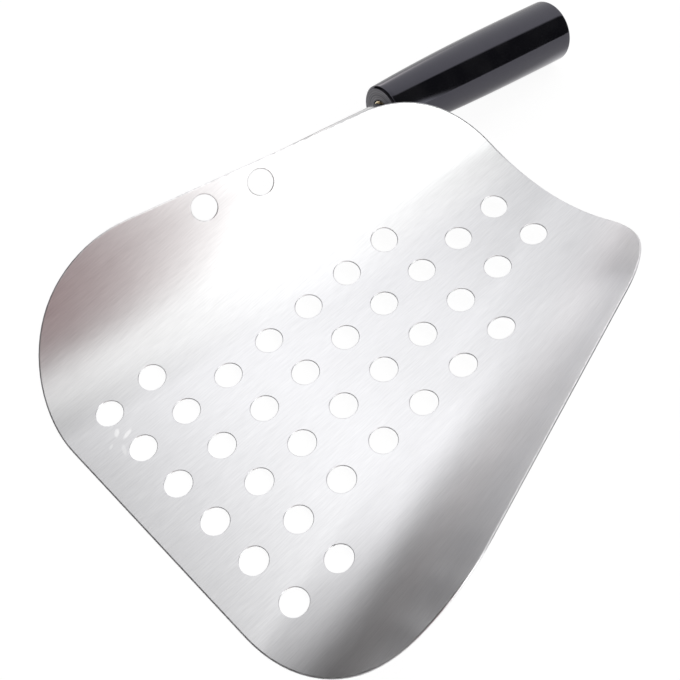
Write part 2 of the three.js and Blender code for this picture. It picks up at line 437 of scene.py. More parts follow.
@dataclass(frozen=True)
class DeburredSteel(Finish):
    """The rounded edges of the sheet and its holes, rubbed bright with a few dull nicks."""

    effects: SharedEffects
    name: str = "deburred_edge"
    colours: Colours = ((0.84, 0.84, 0.85), (0.78, 0.78, 0.79))
    roughness: Pair = (0.3, 0.42)
    relief: Relief = Relief(0.02)
    nick_scale: float = 420.0

    def coat(self, graph: Graph) -> Inputs:
        """Nicks that change colour, gloss and height together."""
        nick = self.smudge(graph, graph.place(), self.nick_scale)
        return self.patterned(graph, nick, nick, nick, Metallic=1.0)


@dataclass(frozen=True)
class DrawnSteel(Finish):
    """Bright drawn rod with faint lines along it."""

    effects: SharedEffects
    frame: Matrix
    name: str = "drawn_rod"
    colours: Colours = ((0.5, 0.51, 0.51), (0.66, 0.67, 0.67))
    roughness: Pair = (0.2, 0.32)
    relief: Relief = Relief(0.15)
    lines_across: float = 3000.0
    lines_along: float = 60.0
    smudge_scale: float = 90.0

    def coat(self, graph: Graph) -> Inputs:
        """Lays streaks along the rod's foot, and smudges in the gloss.

        Args:
            graph: The material's graph.

        Returns:
            The shader's inputs.
        """
        place = graph.place(self.frame @ Matrix.Rotation(radians(-90), 4, "Z"))
        lines = {"Across": self.lines_across, "Along": self.lines_along}
        streaks = graph.effect(self.effects.streaks, place, **lines)
        smudge = self.smudge(graph, place, self.smudge_scale)
        return self.patterned(graph, streaks["Streak"], smudge, streaks["Height"], Metallic=1.0)


@dataclass(frozen=True)
class WeldMetal(Finish):
    """Bare weld bead, straw and grey from the heat."""

    effects: SharedEffects
    name: str = "weld_bead"
    colours: Colours = ((0.36, 0.35, 0.35), (0.55, 0.47, 0.36))
    roughness: Pair = (0.5, 0.32)
    relief: Relief = Relief(0.25, 0.05 * MM)
    tint_scale: float = 350.0

    def coat(self, graph: Graph) -> Inputs:
        """Tints that change colour, gloss and height together."""
        tint = self.smudge(graph, graph.place(), self.tint_scale)
        return self.patterned(graph, tint, tint, tint, Metallic=1.0)


@dataclass(frozen=True)
class TurnedBrass(Finish):
    """Brass of the insert, with turning marks on its face."""

    effects: SharedEffects
    frame: Matrix
    name: str = "turned_brass"
    colours: Colours = ((0.97, 0.87, 0.65), (0.68, 0.5, 0.24))
    roughness: Pair = (0.18, 0.34)
    relief: Relief = Relief(0.2)
    ring_spacing: float = 0.2 * MM
    smudge_scale: float = 400.0

    def coat(self, graph: Graph) -> Inputs:
        """Lays smudges in colour and gloss, and rings that stand out.

        Args:
            graph: The material's graph.

        Returns:
            The shader's inputs.
        """
        place = graph.place(self.frame)
        ring = graph.effect(self.effects.rings, place, Spacing=self.ring_spacing)["Ring"]
        smudge = self.smudge(graph, place, self.smudge_scale)
        return self.patterned(graph, smudge, smudge, ring, Metallic=1.0)


@dataclass(frozen=True)
class GlossBlack(Finish):
    """Polished black thermoset of the grip's sides and free end, faintly blue, under a gloss whose blue tint
    is painted reflection.
    """

    effects: SharedEffects
    name: str = "gloss_black"
    colours: Colours = ((0.006, 0.006, 0.008), (0.011, 0.011, 0.013))
    roughness: Pair = (0.06, 0.10)
    smudge_scale: float = 70.0
    refraction: float = 1.83
    # Painted reflection: a blue tint that stands for the bluish light that the gloss reflects
    painted_reflection_tint: Colour = (0.85, 0.83, 1.0)

    def coat(self, graph: Graph) -> Inputs:
        """Lays smudges under a gloss with a painted blue tint.

        Args:
            graph: The material's graph.

        Returns:
            The shader's inputs.
        """
        smudge = self.smudge(graph, graph.place(), self.smudge_scale)
        inputs = self.patterned(graph, smudge, smudge, IOR=self.refraction)
        return {**inputs, "Specular Tint": self.painted_reflection_tint}


@dataclass(frozen=True)
class TurnedBlackPaintedLight(Finish):
    """The grip's small end face as the lathe left it; its rings are turning marks, and the grey of its
    colours is painted light on the black thermoset.
    """

    effects: SharedEffects
    frame: Matrix
    name: str = "turned_black_painted_light"
    # Painted light: greys far paler than the black of the sides, standing for the light that the end face
    # catches
    colours: Colours = ((0.12, 0.119, 0.135), (0.38, 0.375, 0.415))
    roughness: Pair = (0.55, 0.4)
    relief: Relief = Relief(0.35, 0.05 * MM)
    ring_spacing: float = 0.9 * MM
    refraction: float = 1.65

    def coat(self, graph: Graph) -> Inputs:
        """Rings that change colour, gloss and height together."""
        rings = graph.effect(self.effects.rings, graph.place(self.frame), Spacing=self.ring_spacing)
        return self.patterned(graph, rings["Ring"], rings["Ring"], rings["Ring"], IOR=self.refraction)


def only(geometry: list, kind: type) -> list:
    """The elements of one kind among an operator's results."""
    return [item for item in geometry if isinstance(item, kind)]


def ring_of(verts: list[BMVert]) -> list[BMEdge]:
    """The edges that run between given vertices."""
    inside = set(verts)
    return list({edge for vert in verts for edge in vert.link_edges if inside.issuperset(edge.verts)})


def grow_ring(bm: BMesh, ring: list[BMEdge], shift: Vector, scale: float = 1.0) -> list[BMEdge]:
    """Extrudes a closed ring of edges.

    Args:
        bm: The mesh.
        ring: The ring's edges.
        shift: How far the new ring moves.
        scale: How much wider it is, about its own middle.

    Returns:
        The new ring's edges.
    """
    verts = only(bmesh.ops.extrude_edge_only(bm, edges=ring)["geom"], BMVert)
    middle = sum((vert.co for vert in verts), Vector()) / len(verts)
    bmesh.ops.scale(bm, vec=(scale,) * 3, space=Matrix.Translation(-middle), verts=verts)
    bmesh.ops.translate(bm, vec=shift, verts=verts)
    return ring_of(verts)


def turned_shape(profile: list[Pair], steps: int) -> BMesh:
    """Spins an open profile about Z.

    Args:
        profile: Radius and height of each point.
        steps: Facets round the axis.

    Returns:
        A closed mesh.
    """
    bm = bmesh.new()
    points = [bm.verts.new((radius, 0.0, height)) for radius, height in profile]
    line = [bm.edges.new(pair) for pair in zip(points, points[1:])]
    bmesh.ops.spin(
        bm, geom=points + line, cent=(0, 0, 0), axis=UP, dvec=(0, 0, 0),
        angle=tau, steps=steps, use_merge=True,
    )
    bmesh.ops.remove_doubles(bm, verts=bm.verts, dist=SAME_PLACE)
    bmesh.ops.recalc_face_normals(bm, faces=bm.faces)
    return bm


def shade(bm: BMesh, limit_deg: float) -> None:
    """Makes the faces smooth, with sharp edges where they turn by more than a limit.

    Args:
        bm: The mesh.
        limit_deg: The limit in degrees.
    """
    for face in bm.faces:
        face.smooth = True
    for edge in bm.edges:
        edge.smooth = edge.calc_face_angle(0.0) < radians(limit_deg)


def make_object(name: str, bm: BMesh, materials: list[Material]) -> Object:
    """Turns a mesh into an object of the scene.

    Args:
        name: The object's name.
        bm: Its mesh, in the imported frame.
        materials: Its material slots in order.

    Returns:
        The object.
    """
    mesh = bpy.data.meshes.new(name)
    bm.to_mesh(mesh)
    bm.free()
    for material in materials:
        mesh.materials.append(material)
    made = bpy.data.objects.new(name, mesh)
    bpy.context.scene.collection.objects.link(made)
    return made


def make_piece(name: str, bm: BMesh, finishes: list[Finish], node: str) -> Object:
    """Turns a mesh into a piece that stands for a CAD node.

    Args:
        name: The piece's name.
        bm: Its mesh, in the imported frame.
        finishes: The finishes of its material slots in order.
        node: The node that it replaces.

    Returns:
        The piece.
    """
    piece = make_object(name, bm, [finish.material() for finish in finishes])
    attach(piece, BODY)
    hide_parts(node)
    LOG.info("%s stands for %s with %d faces", name, node, len(piece.data.polygons))
    return piece


@dataclass(frozen=True)
class BentPoint:
    """A point of the sheet's middle after bending, and the directions there."""

    point: Vector
    ruling: Vector
    inside: Vector


@dataclass
class Pan:
    """The perforated pan: a flat blank with rounded corners and holes, bent along two lines."""

    thickness: float = 0.8 * MM
    length: float = 198 * MM
    mouth_width: float = 245 * MM
    back_width: float = 126 * MM
    mouth_corner: float = 56 * MM
    back_corner: float = 44 * MM
    floor_mouth_width: float = 104 * MM
    bend_radius: float = 58.5 * MM
    wall_angle: float = radians(54.2)
    hole_diameter: float = 10 * MM
    hole_pitch: float = 20 * MM
    first_row: float = 18.75 * MM
    last_row_margin: float = 15 * MM
    field_mouth_width: float = 120 * MM
    field_back_width: float = 40 * MM
    wall_hole_setbacks: Pair = (80.8 * MM, 104.2 * MM)
    wall_hole_inset: float = 8 * MM
    edge_round: float = 0.3 * MM
    outline_roll: float = 2.0
    edge_steps: int = 4
    corner_steps: int = 28
    hole_steps: int = 48
    bend_strips: int = 30
    bend_guard: float = 0.4 * MM
    sheet_map: str = "blank"
    map_span: float = 250 * MM
    map_origin: Pair = (0.5, 0.1)

    @property
    def side_taper(self) -> float:
        """Angle of the blank's sides from the scoop's length."""
        return atan2((self.mouth_width - self.back_width) / 2, self.length)

    @property
    def bend_taper(self) -> float:
        """Angle of the bends from the scoop's length."""
        return atan2(self.floor_mouth_width / 2, self.length)

    def outward(self, side: int) -> Vector:
        """Level direction across a bend, away from the floor."""
        return Vector((side * cos(self.bend_taper), sin(self.bend_taper), 0.0))

    def on_bent_sheet(self, across: float, along: float) -> BentPoint:
        """Where a point of the flat blank lies once the sheet is bent.

        Args:
            across: Its distance from the scoop's middle line.
            along: Its distance from the mouth's edge.

        Returns:
            The point on the middle of the sheet and its directions, in the pan's frame.
        """
        side = Wall.HANDLE.value if across < 0 else Wall.FREE.value
        outward = self.outward(side)
        ruling = Vector((-side * sin(self.bend_taper), cos(self.bend_taper), 0.0))
        start = Vector((side * self.floor_mouth_width / 2, 0.0, 0.0))
        offset = Vector((across, along, 0.0)) - start
        beyond = offset.dot(outward)
        turn = min(max(beyond / self.bend_radius, 0.0), self.wall_angle)
        straight = beyond - self.bend_radius * turn
        run = self.bend_radius * sin(turn) + straight * cos(turn)
        rise = self.bend_radius * (1 - cos(turn)) + straight * sin(turn)
        point = start + ruling * offset.dot(ruling) + outward * run + UP * rise
        inside = UP * cos(turn) - outward * sin(turn)
        return BentPoint(point, ruling, inside)

    def beside_handle_edge(self, setback: float, inset: float) -> Vector:
        """A point of the flat blank beside its edge on the handle's side.

        Args:
            setback: Distance from the blank's back corner along the edge.
            inset: Distance in from the edge.

        Returns:
            The point on the flat blank.
        """
        taper = self.side_taper
        corner = Vector((-self.back_width / 2, self.length, 0.0))
        to_mouth = Vector((-sin(taper), -cos(taper), 0.0))
        inward = Vector((cos(taper), -sin(taper), 0.0))
        return corner + to_mouth * setback + inward * inset

    def hole_centres(self) -> list[Vector]:
        """Lays out the holes.

        Returns:
            Centres of all the holes on the flat blank.
        """
        inset = self.wall_hole_inset
        centres = [self.beside_handle_edge(setback, inset) for setback in self.wall_hole_setbacks]
        rows = int((self.length - self.first_row - self.last_row_margin) / self.hole_pitch) + 1
        for row in range(rows):
            along = self.first_row + row * self.hole_pitch
            share = along / self.length
            field = self.field_mouth_width + (self.field_back_width - self.field_mouth_width) * share
            for pair in range(int(field / 2 / self.hole_pitch + 0.5)):
                across = (pair + 0.5) * self.hole_pitch
                centres += [Vector((across, along, 0.0)), Vector((-across, along, 0.0))]
        return centres

    def _draw_outline(self, bm: BMesh) -> None:
        """Draws the blank's outline, set in by the rolled edge's width, with an arc spun at each corner.

        Args:
            bm: The mesh to draw in.
        """
        half_mouth = self.mouth_width / 2
        half_back = self.back_width / 2
        corners = [
            (Vector((-half_mouth, 0.0, 0.0)), self.mouth_corner),
            (Vector((half_mouth, 0.0, 0.0)), self.mouth_corner),
            (Vector((half_back, self.length, 0.0)), self.back_corner),
            (Vector((-half_back, self.length, 0.0)), self.back_corner),
        ]
        arcs = []
        for index, (corner, radius) in enumerate(corners):
            before = (corners[index - 1][0] - corner).normalized()
            after = (corners[(index + 1) % len(corners)][0] - corner).normalized()
            half_angle = before.angle(after) / 2
            centre = corner + (before + after).normalized() * (radius / sin(half_angle))
            square = before.cross(UP)
            if square.dot(corner - centre) < 0:
                square.negate()
            first = bm.verts.new(centre + square * (radius - self.edge_round * self.outline_roll))
            spun = bmesh.ops.spin(
                bm, geom=[first], cent=centre, axis=UP, dvec=(0, 0, 0),
                angle=pi - 2 * half_angle, steps=self.corner_steps,
            )
            arcs.append((first, only(spun["geom_last"], BMVert)[0]))
        for index, (_, last) in enumerate(arcs):
            bm.edges.new((last, arcs[(index + 1) % len(arcs)][0]))

    def _flat_side(self) -> BMesh:
        """Makes one side of the flat blank with its holes, cut along the lines of both bends.

        Returns:
            The flat mesh at half the sheet's thickness above Z = 0.
        """
        bm = bmesh.new()
        self._draw_outline(bm)
        for centre in self.hole_centres():
            bmesh.ops.create_circle(
                bm, cap_ends=False, radius=self.hole_diameter / 2 + self.edge_round,
                segments=self.hole_steps, matrix=Matrix.Translation(centre),
            )
        bmesh.ops.triangle_fill(bm, use_beauty=True, use_dissolve=False, edges=bm.edges, normal=UP)
        arc = self.bend_radius * self.wall_angle
        lines = [arc * strip / self.bend_strips for strip in range(self.bend_strips + 1)]
        lines = [-self.bend_guard, *lines, arc + self.bend_guard]
        for wall in Wall:
            outward = self.outward(wall.value)
            start = Vector((wall.value * self.floor_mouth_width / 2, 0.0, 0.0))
            for line in lines:
                bmesh.ops.bisect_plane(
                    bm, geom=bm.verts[:] + bm.edges[:] + bm.faces[:], dist=SAME_PLACE,
                    plane_co=start + outward * line, plane_no=outward,
                )
        bmesh.ops.translate(bm, vec=UP * (self.thickness / 2), verts=bm.verts)
        return bm

    @staticmethod
    def _away_from_sheet(rim: list[BMEdge]) -> dict[BMVert, Vector]:
        """Finds the level directions that lead from the rim's vertices away from the sheet.

        Args:
            rim: The edges round the sheet and its holes.

        Returns:
            A unit vector for each vertex.
        """
        away: dict[BMVert, Vector] = {}
        for edge in rim:
            first, second = edge.verts
            square = (second.co - first.co).cross(UP).normalized()
            if square.dot(edge.link_faces[0].calc_center_median() - first.co) > 0:
                square.negate()
            for vert in edge.verts:
                away[vert] = away.get(vert, Vector()) + square
        return {vert: way.normalized() for vert, way in away.items()}

    def _edge_section(self) -> list[Pair]:
        """Divides the rounded edge's section.

        Returns:
            Steps away from the sheet and down, from its upper to its lower side.
        """
        angles = [step / self.edge_steps * pi / 2 for step in range(self.edge_steps + 1)]
        points = [(sin(angle), 1 - cos(angle)) for angle in angles]
        upper = [
            ((after[0] - before[0]) * self.edge_round, (after[1] - before[1]) * self.edge_round)
            for before, after in zip(points, points[1:])
        ]
        lower = [(-away, down) for away, down in reversed(upper)]
        return [*upper, (0.0, self.thickness - 2 * self.edge_round), *lower]

    def _add_thickness(self, bm: BMesh) -> None:
        """Grows the edges, rounded at holes and rolled round the outline, and closes the other side.

        Args:
            bm: The flat mesh of one side.
        """
        top = bm.faces[:]
        ring = [edge for edge in bm.edges if edge.is_boundary]
        away = self._away_from_sheet(ring)
        centres = self.hole_centres()
        reach = self.hole_diameter / 2 + 2 * self.edge_round
        for vert in away:
            if all((vert.co.xy - centre.xy).length > reach for centre in centres):
                away[vert] *= self.outline_roll
        for outward, down in self._edge_section():
            grown = only(bmesh.ops.extrude_edge_only(bm, edges=ring)["geom"], BMVert)
            moved = {}
            for vert in grown:
                root = next(other for edge in vert.link_edges for other in edge.verts if other in away)
                moved[vert] = away[root]
                vert.co += away[root] * outward - UP * down
            away = moved
            ring = ring_of(grown)
        copied = bmesh.ops.duplicate(bm, geom=top)["geom"]
        bmesh.ops.translate(bm, vec=-UP * self.thickness, verts=only(copied, BMVert))
        sides = {*top, *only(copied, BMFace)}
        for face in bm.faces:
            face.smooth = True
            face.material_index = (SheetSurface.BRUSHED if face in sides else SheetSurface.EDGE).value
        bmesh.ops.remove_doubles(bm, verts=bm.verts, dist=MICRON)
        bmesh.ops.recalc_face_normals(bm, faces=bm.faces)
        for edge in bm.edges:
            edge.smooth = len({face.material_index for face in edge.link_faces}) == 1

    def build(self, rest: Matrix, brushed: BrushedSteel, edge: DeburredSteel) -> Object:
        """Makes the pan.

        Args:
            rest: From the pan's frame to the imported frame.
            brushed: The finish of the sheet's two sides.
            edge: The finish of its edges.

        Returns:
            The piece.
        """
        bm = self._flat_side()
        self._add_thickness(bm)
        layer = bm.loops.layers.uv.new(self.sheet_map)
        for face in bm.faces:
            for loop in face.loops:
                loop[layer].uv = loop.vert.co.xy / self.map_span + Vector(self.map_origin)
        for vert in bm.verts:
            bent = self.on_bent_sheet(vert.co.x, vert.co.y)
            vert.co = bent.point + bent.inside * vert.co.z
        bmesh.ops.transform(bm, matrix=rest, verts=bm.verts)
        return make_piece("pan_sheet", bm, [brushed, edge], "pan")


@dataclass
class HandleSeat:
    """Where the rod sits on the outside of the wall, and which way it leads to the grip.

    The seat's frame has its origin on the middle of the sheet, X back along the wall's straight
    lines, Y down the wall and Z away from the pan.
    """

    pan: Pan
    rest: Matrix
    rod_diameter: float = 8 * MM
    foot_length: float = 23 * MM
    edge_margin: float = 0.5 * MM
    crank_setback: float = 50 * MM
    flare: float = radians(15)
    drop: float = radians(4)
    fit_gap: float = 0.3 * MM
    wall_clearance: float = 1.4 * MM
    face_diameter: float = 21 * MM

    @property
    def rod_radius(self) -> float:
        """Half the rod's diameter."""
        return self.rod_diameter / 2

    @property
    def height(self) -> float:
        """Height of the rod's middle over the middle of the sheet."""
        return self.pan.thickness / 2 + self.fit_gap + self.rod_radius

    @property
    def shank_way(self) -> Vector:
        """Direction of the rod behind its crank."""
        level = cos(self.flare)
        return Vector((level * cos(self.drop), level * sin(self.drop), sin(self.flare)))

    @property
    def face_reach(self) -> float:
        """Distance from the crank to the grip's small end."""
        face = self.pan.thickness / 2 + self.wall_clearance + self.face_diameter / 2 * cos(self.flare)
        return (face - self.height) / sin(self.flare)

    def frame(self) -> Matrix:
        """Places the seat.

        Returns:
            The seat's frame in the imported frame.
        """
        spot = self.pan.beside_handle_edge(self.crank_setback, self.rod_radius + self.edge_margin)
        bent = self.pan.on_bent_sheet(spot.x, spot.y)
        outside = -bent.inside
        turned = Matrix((bent.ruling, outside.cross(bent.ruling), outside)).transposed().to_4x4()
        return self.rest @ Matrix.Translation(bent.point) @ turned

    def grip_frame(self) -> Matrix:
        """Places the grip.

        Returns:
            The grip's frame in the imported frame: Z along it, from the middle of its small end.
        """
        turned = self.shank_way.to_track_quat("Z", "X").to_matrix().to_4x4()
        small_end = UP * self.height + self.shank_way * self.face_reach
        return self.frame() @ Matrix.Translation(small_end) @ turned


@dataclass
class Stem:
    """The bent rod: a foot on the wall, a crank, a shank and a thinner end in the grip."""

    seat: HandleSeat
    crank_radius: float = 18 * MM
    spigot_diameter: float = 6 * MM
    spigot_length: float = 18 * MM
    chamfer: float = 0.5 * MM
    facets: int = 40
    crank_steps: int = 8

    def build(self, finish: DrawnSteel) -> Object:
        """Makes the rod.

        Args:
            finish: The rod's finish.

        Returns:
            The piece.
        """
        seat = self.seat
        radius = seat.rod_radius
        reach = self.crank_radius * tan(seat.flare / 2)
        bm = bmesh.new()
        foot = Matrix.Translation((-seat.foot_length, 0.0, seat.height)) @ FACING_AHEAD
        cut = radius - self.chamfer
        made = bmesh.ops.create_circle(bm, cap_ends=True, radius=cut, segments=self.facets, matrix=foot)
        ring = ring_of(made["verts"])
        ring = grow_ring(bm, ring, AHEAD * self.chamfer, radius / cut)
        ring = grow_ring(bm, ring, AHEAD * (seat.foot_length - self.chamfer - reach))
        way = seat.shank_way
        turn = AHEAD.angle(way)
        inward = (way - AHEAD * AHEAD.dot(way)).normalized()
        bend_start = Vector((-reach, 0.0, seat.height))
        spun = bmesh.ops.spin(
            bm, geom=ring, cent=bend_start + inward * (reach / tan(turn / 2)),
            axis=AHEAD.cross(inward), dvec=(0, 0, 0), angle=turn, steps=self.crank_steps,
        )
        ring = only(spun["geom_last"], BMEdge)
        ring = grow_ring(bm, ring, way * (seat.face_reach - seat.fit_gap - reach - self.chamfer))
        ring = grow_ring(bm, ring, way * self.chamfer, cut / radius)
        ring = grow_ring(bm, ring, Vector(), self.spigot_diameter / 2 / cut)
        ring = grow_ring(bm, ring, way * self.spigot_length)
        bmesh.ops.contextual_create(bm, geom=ring)
        bmesh.ops.remove_doubles(bm, verts=bm.verts, dist=SAME_PLACE)
        bmesh.ops.recalc_face_normals(bm, faces=bm.faces)
        bmesh.ops.transform(bm, matrix=seat.frame(), verts=bm.verts)
        shade(bm, SHARP_DEG)
        return make_piece("stem_rod", bm, [finish], "handle_stem")


@dataclass
class WeldBead:
    """A rippled bead in the corner between the rod's foot and the wall."""

    seat: HandleSeat
    place: WeldPlace
    end_margin: float = 2.5 * MM
    radius: float = 1.5 * MM
    sole_gap: float = 0.02 * MM
    ripples: int = 13
    ripple_steps: int = 5
    ripple_depth: float = 0.14
    crown_lag: float = 0.35
    end_power: int = 8
    least_end: float = 0.05
    facets: int = 24
    sharp_deg: float = 50.0

    def build(self, finish: WeldMetal) -> Object:
        """Makes the bead.

        Args:
            finish: The bead's finish.

        Returns:
            The piece.
        """
        seat = self.seat
        outer = seat.pan.thickness / 2
        middle = Vector((0.0, self.place.value * (seat.rod_radius - self.radius / 2), outer + seat.fit_gap))
        first = AHEAD * (self.end_margin - seat.foot_length)
        steps = self.ripples * self.ripple_steps
        stride = AHEAD * ((seat.foot_length - 2 * self.end_margin) / steps)
        bm = bmesh.new()
        start = Matrix.Translation(middle + first) @ FACING_AHEAD
        width = self._width(0, steps)
        made = bmesh.ops.create_circle(bm, cap_ends=True, radius=width, segments=self.facets, matrix=start)
        ring = ring_of(made["verts"])
        for step in range(1, steps + 1):
            wider = self._width(step, steps)
            ring = grow_ring(bm, ring, stride, wider / width)
            width = wider
        bmesh.ops.contextual_create(bm, geom=ring)
        for vert in bm.verts:
            crown = (vert.co - middle).yz.length_squared / self.radius**2
            vert.co.x -= self.crown_lag * self.radius * crown
        bmesh.ops.bisect_plane(
            bm, geom=bm.verts[:] + bm.edges[:] + bm.faces[:], dist=SAME_PLACE,
            plane_co=(0, 0, outer + self.sole_gap), plane_no=UP, clear_inner=True,
        )
        bmesh.ops.holes_fill(bm, edges=[edge for edge in bm.edges if edge.is_boundary])
        bmesh.ops.recalc_face_normals(bm, faces=bm.faces)
        bmesh.ops.transform(bm, matrix=seat.frame(), verts=bm.verts)
        shade(bm, self.sharp_deg)
        name = self.place.name.lower()
        return make_piece(f"weld_bead_{name}", bm, [finish], f"weld_{name}")

    def _width(self, step: int, steps: int) -> float:
        """Ripples the bead along its length and rounds it off at both ends.

        Args:
            step: The step along the bead.
            steps: How many there are.

        Returns:
            The bead's radius there.
        """
        ends = sqrt(max(1 - abs(2 * step / steps - 1) ** self.end_power, self.least_end))
        ripple = (step % self.ripple_steps) / self.ripple_steps
        return self.radius * ends * (1 - self.ripple_depth * (1 - sqrt(1 - ripple * ripple)))


@dataclass
class ThreadInsert:
    """The brass insert in the grip's small end."""

    seat: HandleSeat
    outer_diameter: float = 9.2 * MM
    bore_diameter: float = 6.6 * MM
    length: float = 20 * MM
    chamfer: float = 0.15 * MM
    countersink: float = 0.75 * MM
    facets: int = 64

    def build(self, finish: TurnedBrass) -> Object:
        """Makes the insert.

        Args:
            finish: The insert's finish.

        Returns:
            The piece.
        """
        bore = self.bore_diameter / 2
        outer = self.outer_diameter / 2
        cut = self.chamfer
        sink = self.countersink
        bm = turned_shape([
            (bore, sink), (bore + sink, 0.0), (outer - cut, 0.0), (outer, cut),
            (outer, self.length), (bore, self.length), (bore, sink),
        ], self.facets)
        bmesh.ops.transform(bm, matrix=self.seat.grip_frame(), verts=bm.verts)
        shade(bm, SHARP_DEG)
        return make_piece("insert_ring", bm, [finish], "thread_insert")


@dataclass
class Grip:
    """The turned grip, which swells from its small end to its free end."""

    seat: HandleSeat
    length: float = 94 * MM
    large_diameter: float = 26 * MM
    swell: float = 2.7
    chamfer: float = 0.8 * MM
    end_radius: float = 1 * MM
    pocket_diameter: float = 9.8 * MM
    pocket_depth: float = 20.3 * MM
    arris: float = 0.12 * MM
    arris_steps: int = 3
    facets: int = 128
    taper_steps: int = 40
    round_steps: int = 12
    face_level: float = 0.99

    @property
    def small_radius(self) -> float:
        """Half the diameter of the small end."""
        return self.seat.face_diameter / 2

    def _profile(self) -> list[Pair]:
        """Draws the grip's outline.

        Returns:
            Radius and height of its points, from the pocket's floor to the free end.
        """
        small = self.small_radius
        large = self.large_diameter / 2
        taper = self.length - self.chamfer - self.end_radius
        pocket = self.pocket_diameter / 2
        profile = [
            (0.0, self.pocket_depth), (pocket, self.pocket_depth), (pocket, 0.0), (small - self.chamfer, 0.0),
        ]
        for step in range(self.taper_steps + 1):
            share = step / self.taper_steps
            swollen = 1 - (1 - share) ** self.swell
            profile.append((small + (large - small) * swollen, self.chamfer + share * taper))
        for step in range(1, self.round_steps + 1):
            angle = step / self.round_steps * pi / 2
            inset = self.end_radius * (1 - cos(angle))
            profile.append((large - inset, self.length - self.end_radius * (1 - sin(angle))))
        profile.append((0.0, self.length))
        return profile

    def build(self, gloss: GlossBlack, end_face: TurnedBlackPaintedLight) -> Object:
        """Makes the grip.

        Args:
            gloss: The finish of its sides and free end.
            end_face: The finish of its small end's face.

        Returns:
            The piece.
        """
        bm = turned_shape(self._profile(), self.facets)
        rims = [edge for edge in bm.edges if self._is_chamfer_rim(edge)]
        bmesh.ops.bevel(
            bm, geom=rims, offset=self.arris, offset_type="OFFSET", affect="EDGES",
            segments=self.arris_steps, profile=0.5, material=-1,
        )
        bm.normal_update()
        for face in bm.faces:
            on_face = face.normal.z < -self.face_level and face.calc_center_median().z < self.chamfer
            face.material_index = (GripSurface.END_FACE if on_face else GripSurface.GLOSS).value
        shade(bm, SHARP_DEG)
        bmesh.ops.transform(bm, matrix=self.seat.grip_frame(), verts=bm.verts)
        return make_piece("grip_turned", bm, [gloss, end_face], "grip")

    def _is_chamfer_rim(self, edge: BMEdge) -> bool:
        """Tells the two rims of the small end's chamfer from other edges.

        Args:
            edge: An edge of the turned shape.

        Returns:
            Whether it runs round the small end along the chamfer.
        """
        first, second = (vert.co for vert in edge.verts)
        level = abs(first.z - second.z) < SAME_PLACE and first.z < self.chamfer + SAME_PLACE
        inner = self.small_radius - self.chamfer - MICRON
        return level and min(first.xy.length, second.xy.length) > inner


@dataclass(frozen=True)
class Look:
    """The direction that is looked in, and its azimuth and elevation in radians."""

    way: NodeSocket
    azimuth: NodeSocket
    elevation: NodeSocket


@dataclass(frozen=True)
class SoftLight:
    """A round patch of light in the studio's surroundings, with a soft edge."""

    azimuth_deg: float
    elevation_deg: float
    full_within_deg: float
    gone_at_deg: float
    colour: Colour

    def share(self, graph: Graph, look: Look) -> NodeSocket:
        """Builds the patch.

        Args:
            graph: The world's graph.
            look: The direction that is looked in.

        Returns:
            The share of its full strength that comes from there.
        """
        turn = radians(self.azimuth_deg)
        lift = radians(self.elevation_deg)
        middle = (sin(turn) * cos(lift), cos(turn) * cos(lift), sin(lift))
        near = graph.vectors("DOT_PRODUCT", look.way, middle)["Value"]
        return graph.fade(near, cos(radians(self.gone_at_deg)), cos(radians(self.full_within_deg)))


@dataclass(frozen=True)
class SoftBox:
    """An upright box of light in the studio's surroundings, between two azimuths and two elevations.

    Each edge says where the light is half as bright and how far it fades on either side, in degrees.
    """

    first: Pair
    last: Pair
    low: Pair
    high: Pair
    colour: Colour

    def share(self, graph: Graph, look: Look) -> NodeSocket:
        """Builds the box.

        Args:
            graph: The world's graph.
            look: The direction that is looked in.

        Returns:
            The share of its full strength that comes from there.
        """
        (first, first_soft), (last, last_soft) = self.first, self.last
        (low, low_soft), (high, high_soft) = self.low, self.high
        middle = (first + last) / 2
        turned = graph.math("SUBTRACT", look.azimuth, radians(middle))
        beside = graph.math("WRAP", turned, pi, -pi)
        edges = (
            (beside, first - middle, -first_soft), (beside, last - middle, last_soft),
            (look.elevation, low, -low_soft), (look.elevation, high, high_soft),
        )
        fades = [graph.fade(angle, radians(at + soft), radians(at - soft)) for angle, at, soft in edges]
        across = graph.math("MULTIPLY", *fades[:2])
        return graph.math("MULTIPLY", across, graph.math("MULTIPLY", *fades[2:]))


